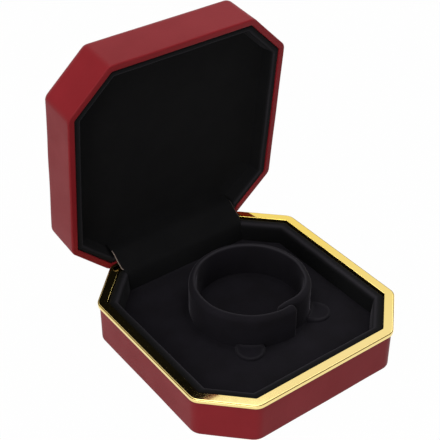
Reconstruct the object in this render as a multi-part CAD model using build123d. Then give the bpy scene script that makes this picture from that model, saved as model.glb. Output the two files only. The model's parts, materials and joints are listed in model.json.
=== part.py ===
from build123d import *
import os
from math import cos, radians, sin, sqrt, tan

# A clamshell bangle case: a square box with cut corners and a lid of the same plan on a rear hinge.
# X runs along the hinge, -Y is the front, Z is up. The origin is the centre of the underside.
# The case is drawn with its lid open. All sizes are in millimetres.

# Overall sizes
CASE_WIDTH = 100.0  # over the plated rim, along the hinge
CASE_DEPTH = 100.0  # over the plated rim, front to hinge
CORNER_CUT = 17.2  # leg of each cut corner
BASE_HEIGHT = 19.2  # table to the top of the plated rim
LID_HEIGHT = 19.8  # lip to the top of the lid
LID_OPEN_ANGLE = 83.5  # from closed to open, where the hinge stops

# Outer skin
LEATHER = 0.6  # thickness of the leathercloth
BASE_LEATHER_INSET = 0.5  # leather face behind the rim's face
BASE_CORNER_RADIUS = 4.0  # upright corners of the base
BASE_FOOT_RADIUS = 1.1  # edge round the underside
BASE_TURN_IN = 12.0  # from the rim's face to where the turned-in leather ends
CARD_STANDOUT = 0.3  # underside card below the leather, so that the case stands on it
LID_OVERHANG = 0.3  # leather face of the lid outside the rim's face
LID_CORNER_RADIUS = 4.0  # upright corners of the lid
LID_CROWN_RADIUS = 3.8  # edge round the top of the lid
LID_LIP_RADIUS = 0.5  # outer edge of the lid's lip
LID_TURN_IN = 5.0  # height of the leather turned in behind the lip

# Moulded shells
BASE_WALL = 1.6
BASE_FLOOR = 2.0
LID_WALL = 1.4
LID_ROOF = 2.0

# Plated rim
RIM_WIDTH = 3.8  # top band
RIM_FACE = 1.6  # height of the outer face
RIM_SKIRT_DEPTH = 5.0  # below the band
RIM_SKIRT_GAP = 0.1  # between skirt and shell wall
RIM_EDGE_RADIUS = 0.4
RIM_BRIDGE = 0.6  # what is left of the band behind the hinge
CLOSING_GAP = 0.25  # between rim and lid lip when closed

# Side linings: velvet over board, leaning inward
BASE_LINING_THICKNESS = 3.9
LINING_GAP = 0.1  # to the rim or to the lid's turned-in leather
LINING_EDGE_RADIUS = 0.6
BASE_LINING_DROP = 0.7  # top edge below the top of the rim
BASE_LINING_LEAN = 5.0  # degrees
LID_LINING_THICKNESS = 2.4
LID_LINING_DROP = 0.2  # edge behind the lid's lip
LID_LINING_LEAN = 9.0  # degrees

# Pads: board, foam and a velvet cover
PAD_BOARD = 1.2
PAD_VELVET = 0.7
PAD_SIDE_GAP = 0.1  # to the side lining
BASE_PAD_SHOULDER = 10.3  # height of the pad at its edge
BASE_PAD_CROWN = 1.7  # rise from the shoulder to the flat top
LID_PAD_SHOULDER = 9.5  # depth of the pad's edge behind the lip
LID_PAD_CROWN = 1.5
PAD_SHOULDER_RUN = 1.6  # how far the rolled edge reaches in
PAD_SHOULDER_DROP = 1.7  # how far it rolls down
PAD_MID_RUN = 5.0  # run to the upper bend of the crown
PAD_MID_SHARE = 0.7  # share of the crown reached there
PAD_FLAT_RUN = 11.0  # run to the flat top

# Bracelet cuff, standing in a slit in the base pad
CUFF_OUTER_RADIUS = 24.7
CUFF_THICKNESS = 3.0
CUFF_VELVET = 0.8
CUFF_PADDING = 1.0  # under the velvet along the cuff's upper edge
CUFF_HEADROOM = 1.45  # from the cuff's top to the lid's pad when closed
CUFF_X = 3.4  # the cuff stands a little off centre
CUFF_Y = 2.4
CUFF_SPLIT_ANGLE = -77.0  # direction of the split seen from the cuff's centre
CUFF_SPLIT = 2.0  # width of the split
CUFF_EDGE_RADIUS = 1.2
CUFF_END_RADIUS = 3.0  # upper corners at the split
CUFF_SLIT_GAP = 0.1

# Half-moon tabs at the foot of the cuff
TAB_WIDTH = 11.6
TAB_REACH = 8.4  # from the cuff's face
TAB_THICKNESS = 1.2
TAB_GAP = 0.1  # to the cuff's face
TAB_EDGE_RADIUS = 0.35
TAB_LEFT_SWING = 50.0  # degrees from the split
TAB_RIGHT_SWING = 30.0

# Hinge
HINGE_LENGTH = 44.0
HINGE_AXIS_INSET = 1.0  # pin axis in front of the rim's rear face
HINGE_AXIS_DROP = 1.6  # pin axis below the top of the rim
HINGE_KNUCKLES = 5
KNUCKLE_RADIUS = 1.1
KNUCKLE_GAP = 0.2
PIN_RADIUS = 0.6
PIN_CLEARANCE = 0.05
LEAF = 0.6  # sheet thickness
LEAF_DROP = 9.6  # foot of the base leaf below the pin axis
LEAF_RISE = 12.0  # top of the lid leaf above the pin axis
WEB_OFFSET = 0.4  # from the pin axis to the near face of either web
NOTCH_GAP = 1.0  # at each end of the hinge
SPRING_STRIP = 0.4
SPRING_END = 2.0  # leaf beyond each end of the spring
SPRING_TONGUE = 5.0
SPRING_GAP = 0.2  # tongue to knuckle and to the notch's floor
SPRING_HEIGHT = 5.4
RIVET_RADIUS = 0.8
RIVET_HOLE_GAP = 0.05
RIVET_HEAD_RADIUS = 1.5
RIVET_HEAD = 0.6
RIVET_COUNT = 4
RIVET_END = 4.4  # outer rivets from the leaf's ends
BASE_RIVET_EDGE = 2.2  # rivets from the base leaf's foot
LID_RIVET_EDGE = 3.6  # rivets from the lid leaf's top

# Velvet flap over the hinge
FLAP_THICKNESS = 0.7
FLAP_SIDE_GAP = 2.4  # to each end of the rear wall's flat
FLAP_GAP = 0.3  # to the linings and the rim
FLAP_CREST_DEPTH = 1.2  # crest of the flap behind the lid's lip
FLAP_CREST_RISE = 1.6  # crest above the flap's bed on the lid lining
FLAP_END_DEPTH = 9.0  # end of the flap behind the lid's lip
FLAP_RIM_RADIUS = 3.0  # bend over the rim
FLAP_CREST_RADIUS = 8.0  # bend at the crest

HEIGHT_TOLERANCE = 0.01  # for finding edges at a height

# Worked out from the sizes above
AXIS_Y = CASE_DEPTH / 2 - HINGE_AXIS_INSET
AXIS_Z = BASE_HEIGHT - HINGE_AXIS_DROP
LID_Z = BASE_HEIGHT + CLOSING_GAP
LID_TOP_Z = LID_Z + LID_HEIGHT
BAND_Z = BASE_HEIGHT - RIM_FACE
BASE_SHELL_INSET = BASE_LEATHER_INSET + LEATHER
BASE_CAVITY_INSET = BASE_SHELL_INSET + BASE_WALL
SHELL_FOOT_Z = CARD_STANDOUT + LEATHER
FLOOR_Z = SHELL_FOOT_Z + BASE_FLOOR
LID_SHELL_INSET = LEATHER - LID_OVERHANG
LID_CAVITY_INSET = LID_SHELL_INSET + LID_WALL
LID_LIP_INSET = LID_CAVITY_INSET + LEATHER
ROOF_Z = LID_TOP_Z - LEATHER - LID_ROOF
BASE_SLOPE = tan(radians(BASE_LINING_LEAN))
LID_SLOPE = tan(radians(LID_LINING_LEAN))
BASE_LINING_TOP_Z = BASE_HEIGHT - BASE_LINING_DROP
LID_LINING_Z = LID_Z + LID_LINING_DROP
PAD_TOP_Z = BASE_PAD_SHOULDER + BASE_PAD_CROWN
CUFF_TOP_Z = LID_Z + LID_PAD_SHOULDER - LID_PAD_CROWN - CUFF_HEADROOM
SPRING_TOP_Z = AXIS_Z - KNUCKLE_RADIUS - SPRING_GAP
NOTCH_Z = SPRING_TOP_Z - SPRING_STRIP - SPRING_GAP
BASE_WALL_Y = CASE_DEPTH / 2 - BASE_CAVITY_INSET
BASE_SHELL_Y = CASE_DEPTH / 2 - BASE_SHELL_INSET
LID_WALL_Y = CASE_DEPTH / 2 - LID_CAVITY_INSET
LID_SHELL_Y = CASE_DEPTH / 2 - LID_SHELL_INSET
BASE_RIVET_Z = AXIS_Z - LEAF_DROP + BASE_RIVET_EDGE
LID_RIVET_Z = AXIS_Z + LEAF_RISE - LID_RIVET_EDGE
RIVET_PITCH = (HINGE_LENGTH - 2 * RIVET_END) / (RIVET_COUNT - 1)
RIVET_X = [RIVET_END - HINGE_LENGTH / 2 + i * RIVET_PITCH for i in range(RIVET_COUNT)]
BASE_LINING_INSET = RIM_WIDTH + LINING_GAP
LID_LINING_INSET = LID_LIP_INSET + LINING_GAP
HINGE_AXIS = Axis((0, AXIS_Y, AXIS_Z), (1, 0, 0))
KNUCKLE_PITCH = HINGE_LENGTH / HINGE_KNUCKLES


def octagon(inset, corner_radius=0.0):
    """Plan of the case moved inward by inset, with its eight corners rounded."""
    half_x = CASE_WIDTH / 2 - inset
    half_y = CASE_DEPTH / 2 - inset
    leg = CORNER_CUT - inset * (2 - sqrt(2))
    quarter = [(half_x, half_y - leg), (half_x - leg, half_y)]
    points = quarter
    points = points + [(-x, y) for x, y in reversed(quarter)]
    points = points + [(-x, -y) for x, y in quarter]
    points = points + [(x, -y) for x, y in reversed(quarter)]
    face = Polygon(*points, align=None)
    if corner_radius > 0:
        face = fillet(face.vertices(), corner_radius)
    return face


def prism(inset, low, high, corner_radius=0.0):
    """Upright block on the case's plan between two heights."""
    return extrude(Plane.XY.offset(low) * octagon(inset, corner_radius), high - low)


def stack(levels):
    """Block with flat sides through (inset, height) levels of the case's plan."""
    return loft([Plane.XY.offset(height) * octagon(inset) for inset, height in levels], ruled=True)


def block(x_size, y_low, y_high, z_low, z_high, x_centre=0.0):
    """Box centred on x_centre, given by its limits in Y and Z."""
    centre = Pos(x_centre, (y_low + y_high) / 2, (z_low + z_high) / 2)
    return centre * Box(x_size, y_high - y_low, z_high - z_low)


def rod_y(radius, y_low, y_high, x, z):
    """Round bar along Y."""
    return Pos(x, (y_low + y_high) / 2, z) * Rot(90, 0, 0) * Cylinder(radius, y_high - y_low)


def rod_x(radius, x_low, x_high):
    """Round bar along the hinge axis."""
    return Pos((x_low + x_high) / 2, AXIS_Y, AXIS_Z) * Rot(0, 90, 0) * Cylinder(radius, x_high - x_low)


def opened(shape):
    """Turn a piece of the closed lid to where it stands when the lid is open."""
    return shape.rotate(HINGE_AXIS, -LID_OPEN_ANGLE)


def notch(y_low, y_high, z_low, z_high):
    """Clearance for the hinge in the rear wall."""
    return block(HINGE_LENGTH + 2 * NOTCH_GAP, y_low, y_high, z_low, z_high)


def edges_at(shape, height):
    """Edges that lie flat at one height."""
    low = height - HEIGHT_TOLERANCE
    return shape.edges().filter_by_position(Axis.Z, low, height + HEIGHT_TOLERANCE)


def make_base_shell():
    """Moulded tray with holes for the hinge rivets and a notch for the knuckles."""
    radius = BASE_CORNER_RADIUS - LEATHER
    shell = prism(BASE_SHELL_INSET, SHELL_FOOT_Z, BAND_Z, radius)
    shell = fillet(edges_at(shell, SHELL_FOOT_Z), BASE_FOOT_RADIUS - LEATHER)
    shell -= prism(BASE_CAVITY_INSET, FLOOR_Z, BAND_Z, radius - BASE_WALL)
    shell -= notch(BASE_WALL_Y, CASE_DEPTH / 2, NOTCH_Z, BAND_Z)
    return shell - rivet_holes(BASE_WALL_Y, BASE_SHELL_Y, BASE_RIVET_Z)


def make_base_leather():
    """Wrap round the wall and foot, turned in under the floor."""
    wrap = prism(BASE_LEATHER_INSET, CARD_STANDOUT, BAND_Z, BASE_CORNER_RADIUS)
    wrap = fillet(edges_at(wrap, CARD_STANDOUT), BASE_FOOT_RADIUS)
    core = prism(BASE_SHELL_INSET, SHELL_FOOT_Z, BAND_Z, BASE_CORNER_RADIUS - LEATHER)
    wrap -= fillet(edges_at(core, SHELL_FOOT_Z), BASE_FOOT_RADIUS - LEATHER)
    wrap -= prism(BASE_TURN_IN, CARD_STANDOUT, SHELL_FOOT_Z)
    wrap -= notch(BASE_SHELL_Y, CASE_DEPTH / 2, NOTCH_Z, BAND_Z)
    return wrap


def make_underside_card():
    """Flocked card let in between the turned-in edges, which the case stands on."""
    return prism(BASE_TURN_IN, 0, SHELL_FOOT_Z)


def make_gold_rim():
    """Plated frame: a flat band on top of the wall and a skirt inside it."""
    band = prism(0, BAND_Z, BASE_HEIGHT, BASE_CORNER_RADIUS - BASE_LEATHER_INSET)
    band = fillet(edges_at(band, BASE_HEIGHT), RIM_EDGE_RADIUS)
    foot = BAND_Z - RIM_SKIRT_DEPTH
    skirt_radius = BASE_CORNER_RADIUS - LEATHER - BASE_WALL
    rim = band + prism(BASE_CAVITY_INSET + RIM_SKIRT_GAP, foot, BAND_Z, skirt_radius)
    rim -= prism(RIM_WIDTH, foot, BASE_HEIGHT)
    bridge_y = CASE_DEPTH / 2 - RIM_WIDTH
    rim -= notch(bridge_y + RIM_BRIDGE, CASE_DEPTH / 2, foot, BASE_HEIGHT)
    rim -= notch(bridge_y, CASE_DEPTH / 2, foot, BAND_Z)
    return rim


def leaning_strip(lip_inset, lip_z, far_z, slope, thickness):
    """Strip round the plan that leans inward on its way from the lip to its far edge."""
    far_inset = lip_inset + slope * abs(lip_z - far_z)
    levels = sorted([(lip_z, lip_inset), (far_z, far_inset)])
    outside = stack([(inset, height) for height, inset in levels])
    inside = stack([(inset + thickness, height) for height, inset in levels])
    return fillet(edges_at(outside - inside, lip_z), LINING_EDGE_RADIUS)


def make_base_lining():
    """Velvet-covered strip inside the base walls, standing on the floor."""
    return leaning_strip(
        BASE_LINING_INSET, BASE_LINING_TOP_Z, FLOOR_Z, BASE_SLOPE, BASE_LINING_THICKNESS
    )


def make_lid_lining():
    """Velvet-covered strip inside the lid walls, drawn closed."""
    return leaning_strip(
        LID_LINING_INSET, LID_LINING_Z, ROOF_Z, LID_SLOPE, LID_LINING_THICKNESS
    )


def crowned_pad(side_inset, lip_z, seat_z, shoulder_z, slope, crown, skin):
    """Pad from its seat to its flat top, drawn skin millimetres under its face.

    side_inset is where the pad's side would meet the lining's lip. The pad faces up where
    its shoulder is above its seat, and down where the shoulder is below.
    """
    up = 1 if shoulder_z > seat_z else -1
    bend_z = shoulder_z - up * PAD_SHOULDER_DROP
    foot = side_inset + skin + slope * abs(lip_z - seat_z)
    waist = side_inset + skin + slope * abs(lip_z - bend_z)
    face_z = shoulder_z - up * skin
    return stack([
        (foot, seat_z),
        (waist, bend_z - up * skin),
        (waist + PAD_SHOULDER_RUN, face_z),
        (waist + PAD_MID_RUN, face_z + up * crown * PAD_MID_SHARE),
        (waist + PAD_FLAT_RUN, face_z + up * crown),
    ])


def make_base_pad():
    """Board, foam and velvet of the base pad, the last two slit for the cuff."""
    side = BASE_LINING_INSET + BASE_LINING_THICKNESS + PAD_SIDE_GAP
    place = (side, BASE_LINING_TOP_Z, FLOOR_Z, BASE_PAD_SHOULDER, BASE_SLOPE, BASE_PAD_CROWN)
    outside = crowned_pad(*place, skin=0.0)
    inside = crowned_pad(*place, skin=PAD_VELVET)
    board_space = prism(0, FLOOR_Z, FLOOR_Z + PAD_BOARD)
    slit = make_cuff_core(CUFF_SLIT_GAP)
    return inside & board_space, inside - board_space - slit, outside - inside - slit


def make_lid_pad():
    """Board, foam and velvet of the lid pad, drawn closed."""
    side = LID_LINING_INSET + LID_LINING_THICKNESS + PAD_SIDE_GAP
    shoulder = LID_Z + LID_PAD_SHOULDER
    place = (side, LID_LINING_Z, ROOF_Z, shoulder, LID_SLOPE, LID_PAD_CROWN)
    outside = crowned_pad(*place, skin=0.0)
    inside = crowned_pad(*place, skin=PAD_VELVET)
    board_space = prism(0, ROOF_Z - PAD_BOARD, ROOF_Z)
    return inside & board_space, inside - board_space, outside - inside


def cuff_ring(inner, outer, low, high, split, end_radius):
    """Split ring round the cuff's centre, its upper corners rounded at the split."""
    outline = Circle(outer) - Circle(inner) - Pos(outer / 2 + inner / 2, 0) * Rectangle(inner, split)
    ring = extrude(Plane.XY.offset(low) * outline, high - low)
    ring = fillet(edges_at(ring, high).filter_by(GeomType.LINE), end_radius)
    return Pos(CUFF_X, CUFF_Y, 0) * Rot(0, 0, CUFF_SPLIT_ANGLE) * ring


def make_cuff_core(gap=0.0):
    """Bent strip that carries the bracelet, let into the pad down to its board."""
    inner = CUFF_OUTER_RADIUS - CUFF_THICKNESS + CUFF_VELVET - gap
    outer = CUFF_OUTER_RADIUS - CUFF_VELVET + gap
    split = CUFF_SPLIT + 2 * CUFF_VELVET - 2 * gap
    foot = FLOOR_Z + PAD_BOARD
    top = CUFF_TOP_Z - CUFF_VELVET - CUFF_PADDING
    return cuff_ring(inner, outer, foot, top, split, CUFF_END_RADIUS - CUFF_VELVET)


def make_cuff_velvet():
    """Velvet sleeve over the strip, open where it stands on the pad."""
    inner = CUFF_OUTER_RADIUS - CUFF_THICKNESS
    sleeve = cuff_ring(
        inner, CUFF_OUTER_RADIUS, PAD_TOP_Z, CUFF_TOP_Z, CUFF_SPLIT, CUFF_END_RADIUS
    )
    above = sleeve.edges().filter_by(lambda edge: edge.center().Z > PAD_TOP_Z + HEIGHT_TOLERANCE)
    across = above.filter_by(GeomType.LINE).filter_by(Plane.XY)
    sleeve = fillet([edge for edge in above if edge not in across], CUFF_EDGE_RADIUS)
    return sleeve - make_cuff_core()


def make_tab(swing):
    """Half-moon tab lying on the pad, its straight side hollowed to the cuff."""
    radius = TAB_WIDTH / 2
    end = CUFF_OUTER_RADIUS + TAB_REACH - radius
    outline = Pos(end / 2, 0) * Rectangle(end, TAB_WIDTH) + Pos(end, 0) * Circle(radius)
    outline -= Circle(CUFF_OUTER_RADIUS + TAB_GAP)
    tab = extrude(Plane.XY.offset(PAD_TOP_Z) * outline, TAB_THICKNESS)
    tab = fillet(edges_at(tab, PAD_TOP_Z + TAB_THICKNESS), TAB_EDGE_RADIUS)
    return Pos(CUFF_X, CUFF_Y, 0) * Rot(0, 0, CUFF_SPLIT_ANGLE + swing) * tab


def make_lid_shell():
    """Moulded lid, drawn closed."""
    radius = LID_CORNER_RADIUS - LEATHER
    shell = prism(LID_SHELL_INSET, LID_Z + LEATHER, LID_TOP_Z - LEATHER, radius)
    shell = fillet(edges_at(shell, LID_TOP_Z - LEATHER), LID_CROWN_RADIUS - LEATHER)
    shell -= prism(LID_CAVITY_INSET, LID_Z + LEATHER, ROOF_Z, radius - LID_WALL)
    return shell - rivet_holes(LID_WALL_Y, LID_SHELL_Y, LID_RIVET_Z)


def make_lid_leather():
    """Wrap over the lid's top and walls, turned in round the lip, drawn closed."""
    radius = LID_CORNER_RADIUS
    wrap = prism(-LID_OVERHANG, LID_Z, LID_TOP_Z, radius)
    wrap = fillet(edges_at(wrap, LID_TOP_Z), LID_CROWN_RADIUS)
    wrap = fillet(edges_at(wrap, LID_Z), LID_LIP_RADIUS)
    core = prism(LID_SHELL_INSET, LID_Z + LEATHER, LID_TOP_Z - LEATHER, radius - LEATHER)
    wrap -= fillet(edges_at(core, LID_TOP_Z - LEATHER), LID_CROWN_RADIUS - LEATHER)
    turned = prism(LID_CAVITY_INSET, LID_Z, LID_Z + LID_TURN_IN, radius - LEATHER - LID_WALL)
    wrap += turned
    wrap -= prism(LID_LIP_INSET, LID_Z, LID_Z + LID_TURN_IN)
    wrap -= notch(LID_WALL_Y - LEATHER, LID_WALL_Y, LID_Z, LID_Z + LID_TURN_IN)
    return wrap


def knuckle_centres(first):
    """Places along X of every second knuckle, from first."""
    middle = (HINGE_KNUCKLES - 1) / 2
    return [(i - middle) * KNUCKLE_PITCH for i in range(first, HINGE_KNUCKLES, 2)]


BASE_KNUCKLES = knuckle_centres(0)
LID_KNUCKLES = knuckle_centres(1)


def with_knuckles(leaf, own, other):
    """Give a leaf its barrel and cut it back where the other leaf's knuckles turn."""
    reach = KNUCKLE_RADIUS + KNUCKLE_GAP
    slot = KNUCKLE_PITCH + KNUCKLE_GAP
    for x in other:
        leaf -= block(slot, AXIS_Y - reach, AXIS_Y + reach, AXIS_Z - reach, AXIS_Z + reach, x)
    half = (KNUCKLE_PITCH - KNUCKLE_GAP) / 2
    for x in own:
        leaf += rod_x(KNUCKLE_RADIUS, x - half, x + half)
    return leaf - rod_x(PIN_RADIUS + PIN_CLEARANCE, -HINGE_LENGTH, HINGE_LENGTH)


def rivet_holes(y_low, y_high, z):
    """Row of rivet clearances through one layer."""
    radius = RIVET_RADIUS + RIVET_HOLE_GAP
    return [rod_y(radius, y_low, y_high, x, z) for x in RIVET_X]


def make_hinge_base_leaf():
    """Leaf riveted inside the rear wall of the base, open above for the spring's tongues."""
    front = BASE_WALL_Y - LEAF
    web_top = AXIS_Z - WEB_OFFSET
    leaf = block(HINGE_LENGTH, front, BASE_WALL_Y, AXIS_Z - LEAF_DROP, web_top)
    leaf += block(HINGE_LENGTH, front, AXIS_Y, web_top - LEAF, web_top)
    leaf = with_knuckles(leaf, BASE_KNUCKLES, LID_KNUCKLES)
    for x in LID_KNUCKLES:
        leaf -= block(KNUCKLE_PITCH + KNUCKLE_GAP, front, BASE_WALL_Y, NOTCH_Z, AXIS_Z, x)
    return leaf - rivet_holes(front, BASE_WALL_Y, BASE_RIVET_Z)


def make_hinge_lid_leaf():
    """Leaf riveted inside the rear wall of the lid, drawn closed."""
    front = LID_WALL_Y - LEAF
    web_low = AXIS_Z + WEB_OFFSET
    leaf = block(HINGE_LENGTH, front, LID_WALL_Y, web_low, AXIS_Z + LEAF_RISE)
    leaf += block(HINGE_LENGTH, front, AXIS_Y, web_low, web_low + LEAF)
    leaf = with_knuckles(leaf, LID_KNUCKLES, BASE_KNUCKLES)
    return leaf - rivet_holes(front, LID_WALL_Y, LID_RIVET_Z)


def make_hinge_spring():
    """Flat detent spring on the base leaf, with a tongue under each lid knuckle."""
    back = BASE_WALL_Y - LEAF
    front = back - SPRING_STRIP
    low = AXIS_Z - LEAF_DROP
    spring = block(HINGE_LENGTH - 2 * SPRING_END, front, back, low, low + SPRING_HEIGHT)
    for x in LID_KNUCKLES:
        spring += block(SPRING_TONGUE, front, back, low, SPRING_TOP_Z, x)
        spring += block(SPRING_TONGUE, front, AXIS_Y, SPRING_TOP_Z - SPRING_STRIP, SPRING_TOP_Z, x)
    return spring - rivet_holes(front, back, BASE_RIVET_Z)


def make_rivets(clamped_y, shank_end, z):
    """Row of flat-headed rivets along Y, their heads in front of clamped_y."""
    front = clamped_y - RIVET_HEAD
    rivets = []
    for x in RIVET_X:
        head = rod_y(RIVET_HEAD_RADIUS, front, clamped_y, x, z)
        rivets.append(head + rod_y(RIVET_RADIUS, front, shank_end, x, z))
    return Compound(rivets)


def flap_point(depth, rise):
    """Place (y, z) of the flap's middle, depth behind the open lid's lip and above its bed."""
    lining_y = CASE_DEPTH / 2 - LID_LINING_INSET - LID_LINING_THICKNESS
    face_y = lining_y - LID_SLOPE * (depth - LID_LINING_DROP)
    dy = face_y - FLAP_GAP - FLAP_THICKNESS / 2 - rise - AXIS_Y
    dz = LID_Z + depth - AXIS_Z
    turn = radians(LID_OPEN_ANGLE)
    return AXIS_Y + dy * cos(turn) + dz * sin(turn), AXIS_Z - dy * sin(turn) + dz * cos(turn)


def make_hinge_flap():
    """Velvet flap from the base lining over the hinge and into the open lid."""
    seat_y = CASE_DEPTH / 2 - BASE_LINING_INSET - BASE_LINING_THICKNESS / 2
    seat_z = BASE_LINING_TOP_Z + FLAP_GAP + FLAP_THICKNESS / 2
    bridge_y = CASE_DEPTH / 2 - RIM_WIDTH + RIM_BRIDGE / 2
    route = FilletPolyline(
        (seat_y, seat_z),
        (bridge_y, BASE_HEIGHT + FLAP_GAP + FLAP_THICKNESS),
        flap_point(FLAP_CREST_DEPTH, FLAP_CREST_RISE),
        flap_point(FLAP_END_DEPTH, 0.0),
        radius=[FLAP_RIM_RADIUS, FLAP_CREST_RADIUS],
    )
    width = CASE_WIDTH - 2 * CORNER_CUT - 2 * FLAP_SIDE_GAP
    return extrude(Plane.YZ * trace(route, FLAP_THICKNESS), width / 2, both=True)


pad_board, pad_foam, pad_velvet = make_base_pad()
lid_pad_board, lid_pad_foam, lid_pad_velvet = make_lid_pad()
base_rivets = make_rivets(BASE_WALL_Y - LEAF - SPRING_STRIP, BASE_SHELL_Y, BASE_RIVET_Z)
lid_rivets = make_rivets(LID_WALL_Y - LEAF, LID_SHELL_Y, LID_RIVET_Z)

parts = {
    "base_shell": make_base_shell(),
    "base_leather": make_base_leather(),
    "base_underside_card": make_underside_card(),
    "gold_rim": make_gold_rim(),
    "base_lining": make_base_lining(),
    "base_pad_board": pad_board,
    "base_pad_foam": pad_foam,
    "base_pad_velvet": pad_velvet,
    "cuff_core": make_cuff_core(),
    "cuff_velvet": make_cuff_velvet(),
    "cuff_tab_left": make_tab(-TAB_LEFT_SWING),
    "cuff_tab_right": make_tab(TAB_RIGHT_SWING),
    "hinge_base_leaf": make_hinge_base_leaf(),
    "hinge_pin": rod_x(PIN_RADIUS, -HINGE_LENGTH / 2, HINGE_LENGTH / 2),
    "hinge_spring": make_hinge_spring(),
    "hinge_base_rivets": base_rivets,
    "hinge_flap": make_hinge_flap(),
    "hinge_lid_leaf": opened(make_hinge_lid_leaf()),
    "hinge_lid_rivets": opened(lid_rivets),
    "lid_shell": opened(make_lid_shell()),
    "lid_leather": opened(make_lid_leather()),
    "lid_lining": opened(make_lid_lining()),
    "lid_pad_board": opened(lid_pad_board),
    "lid_pad_foam": opened(lid_pad_foam),
    "lid_pad_velvet": opened(lid_pad_velvet),
}

os.makedirs("parts", exist_ok=True)
for name, shape in parts.items():
    export_step(shape, f"parts/{name}.step")
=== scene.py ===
import json
import logging
from dataclasses import dataclass, field, replace
from enum import Enum
from math import cos, pi, radians, sin, sqrt, tan
from typing import Any, Sequence

import bmesh
import bpy
import numpy as np
from mathutils import Matrix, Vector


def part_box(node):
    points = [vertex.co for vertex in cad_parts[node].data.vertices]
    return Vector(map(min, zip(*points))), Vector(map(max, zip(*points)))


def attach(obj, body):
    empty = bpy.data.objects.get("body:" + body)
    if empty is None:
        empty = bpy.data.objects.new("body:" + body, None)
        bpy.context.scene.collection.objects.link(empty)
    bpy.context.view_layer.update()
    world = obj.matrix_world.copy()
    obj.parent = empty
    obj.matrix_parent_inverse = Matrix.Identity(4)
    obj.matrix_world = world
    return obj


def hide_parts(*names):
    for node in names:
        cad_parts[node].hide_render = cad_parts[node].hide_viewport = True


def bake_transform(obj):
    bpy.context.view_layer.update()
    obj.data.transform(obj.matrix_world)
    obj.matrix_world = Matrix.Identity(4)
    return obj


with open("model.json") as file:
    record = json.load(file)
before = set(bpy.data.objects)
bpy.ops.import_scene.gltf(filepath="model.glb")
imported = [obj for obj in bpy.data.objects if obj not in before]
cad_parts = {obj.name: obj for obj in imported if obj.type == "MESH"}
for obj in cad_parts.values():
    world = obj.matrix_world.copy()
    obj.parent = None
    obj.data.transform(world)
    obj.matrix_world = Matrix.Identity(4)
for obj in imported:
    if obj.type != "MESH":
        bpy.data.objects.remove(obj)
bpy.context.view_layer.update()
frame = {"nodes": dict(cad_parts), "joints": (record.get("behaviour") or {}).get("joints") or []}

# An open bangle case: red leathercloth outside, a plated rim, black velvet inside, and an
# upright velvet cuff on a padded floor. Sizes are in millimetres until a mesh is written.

LOG = logging.getLogger("bangle_case")
MM = 0.001
IMAGE_SIZE = 440.0  # pixels, each way
WELD = 1e-6  # metres, points nearer than this are one
PAINTED_GROOVE_SHADE = "painted_groove_shade"  # attribute of the rim, 1 in the groove, where painted shade darkens it
PAINTED_SHEEN_AND_CUT_EDGE = "turned"  # attribute of velvet, 1 along edges, where a painted sheen highlight lightens the pile, and on the flap's cut ends, which show their backing


class Body(Enum):
    """Rigid bodies of the case."""

    BASE = "base"
    LID = "lid"


class Slot(Enum):
    """Material slots of the record, passed along with the new pieces."""

    LEATHER = "leather_red"
    GOLD = "gold"
    VELVET = "velvet_black"
    SHELL = "shell"


# Finishes


def linear(code: str) -> tuple[float, ...]:
    """Turn an sRGB hex colour into linear light.

    Each channel c becomes c / 12.92 under 0.04045 and ((c + 0.055) / 1.055) ** 2.4 above.

    Args:
        code: six hex digits.

    Returns:
        Red, green, blue and an alpha of one.
    """
    channels = np.array([int(code[i : i + 2], 16) for i in (0, 2, 4)]) / 255
    curve = ((channels + 0.055) / 1.055) ** 2.4
    light = np.where(channels <= 0.04045, channels / 12.92, curve)
    return (*light.tolist(), 1.0)


def add_node(
    tree: bpy.types.NodeTree, kind: str, sockets: dict[Any, Any], **settings: Any
) -> bpy.types.Node:
    """Add a shader node with its settings, values and links.

    Args:
        tree: where the node goes.
        kind: the node's type without its ShaderNode prefix.
        sockets: input name or number to a value, to the output socket linked to it, or to a
            node whose first output is meant.
        settings: properties of the node.

    Returns:
        The new node.
    """
    node = tree.nodes.new("ShaderNode" + kind)
    for key, value in settings.items():
        setattr(node, key, value)
    for key, value in sockets.items():
        if isinstance(value, bpy.types.Node):
            value = value.outputs[0]
        if isinstance(value, bpy.types.NodeSocket):
            tree.links.new(value, node.inputs[key])
        else:
            node.inputs[key].default_value = value
    return node


def blank_material(name: str) -> bpy.types.Material:
    """Make a material with an empty node tree.

    Args:
        name: of the material.

    Returns:
        The material.
    """
    material = bpy.data.materials.new(name)
    material.use_nodes = True
    material.node_tree.nodes.clear()
    return material


class Texture(Enum):
    """How a pattern is drawn."""

    CLOUDS = "clouds"
    PEBBLES = "pebbles"
    SLOPE = "slope"


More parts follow.
